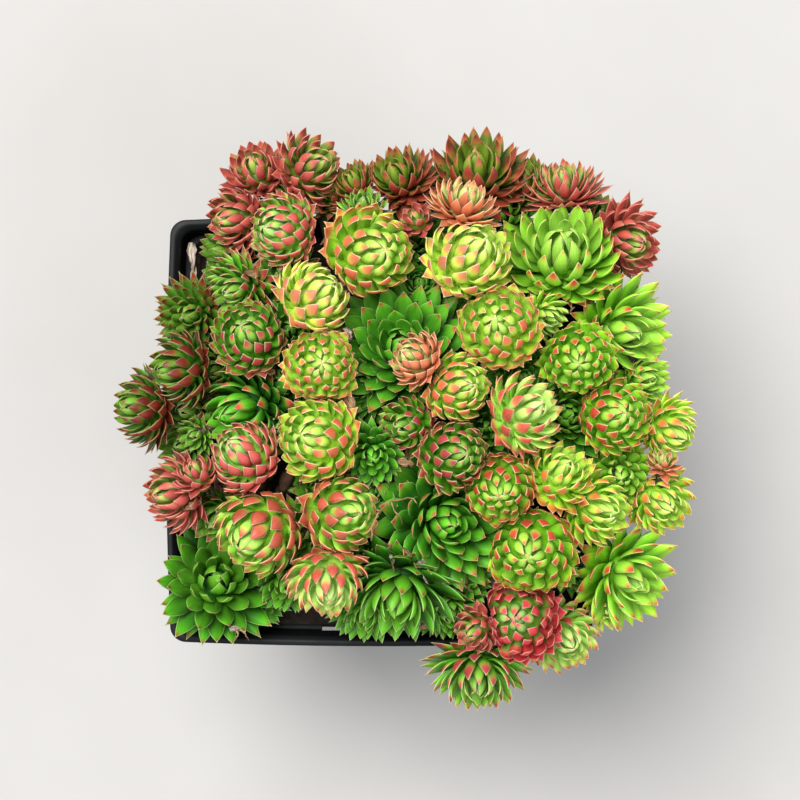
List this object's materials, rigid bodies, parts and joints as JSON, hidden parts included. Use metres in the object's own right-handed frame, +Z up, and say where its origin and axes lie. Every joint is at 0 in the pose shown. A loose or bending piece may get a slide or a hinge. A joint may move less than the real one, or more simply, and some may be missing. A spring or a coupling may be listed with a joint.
{
  "type": "potted hens and chicks plant",
  "caption": "Square tapered nursery pot with a mound of houseleek rosettes: tight round offsets crowded above larger open ones.",
  "frame": {"origin": "centre of the pot's flat foot, on the surface that the pot stands on", "axes": "+Z up along the pot's axis; +X and +Y square to the pot's sides, with the red rosettes that lean furthest out on the +Y side"},
  "size_m": [0.1248, 0.1258, 0.1252],
  "materials": {
    "pot_plastic": "satin, slightly ribbed and dusty",
    "potting_mix": "rough bark and peat crumbs",
    "green_leaf": "waxy satin",
    "lime_leaf": "waxy satin",
    "flushed_leaf": "waxy satin"
  },
  "bodies": {
    "root": {"pot": "pot_plastic", "soil": "potting_mix", "chick_01": "flushed_leaf", "chick_02": "flushed_leaf", "chick_03": "flushed_leaf", "chick_04": "lime_leaf", "chick_05": "lime_leaf", "chick_06": "lime_leaf", "chick_07": "green_leaf", "chick_08": "lime_leaf", "chick_09": "green_leaf", "chick_10": "green_leaf", "chick_11": "green_leaf", "chick_12": "green_leaf", "hen_01": "green_leaf", "chick_13": "flushed_leaf", "chick_14": "flushed_leaf", "chick_15": "flushed_leaf", "chick_16": "flushed_leaf", "chick_17": "lime_leaf", "chick_18": "flushed_leaf", "hen_02": "green_leaf", "chick_19": "lime_leaf", "chick_20": "green_leaf", "chick_21": "green_leaf", "hen_03": "green_leaf", "chick_22": "flushed_leaf", "chick_23": "lime_leaf", "chick_24": "lime_leaf", "chick_25": "lime_leaf", "chick_26": "lime_leaf", "chick_27": "flushed_leaf", "hen_04": "flushed_leaf", "chick_28": "flushed_leaf", "chick_29": "flushed_leaf", "chick_30": "green_leaf", "chick_31": "flushed_leaf", "hen_05": "green_leaf", "chick_32": "flushed_leaf", "hen_06": "green_leaf", "chick_33": "green_leaf", "chick_34": "lime_leaf", "chick_35": "flushed_leaf", "chick_36": "lime_leaf", "chick_37": "lime_leaf", "chick_38": "green_leaf", "chick_39": "lime_leaf", "chick_40": "lime_leaf", "chick_41": "lime_leaf", "chick_42": "green_leaf", "hen_07": "green_leaf", "hen_08": "green_leaf", "chick_43": "lime_leaf", "hen_09": "lime_leaf", "chick_44": "flushed_leaf", "chick_45": "lime_leaf", "chick_46": "green_leaf", "hen_10": "green_leaf"}
  },
  "joints": []
}
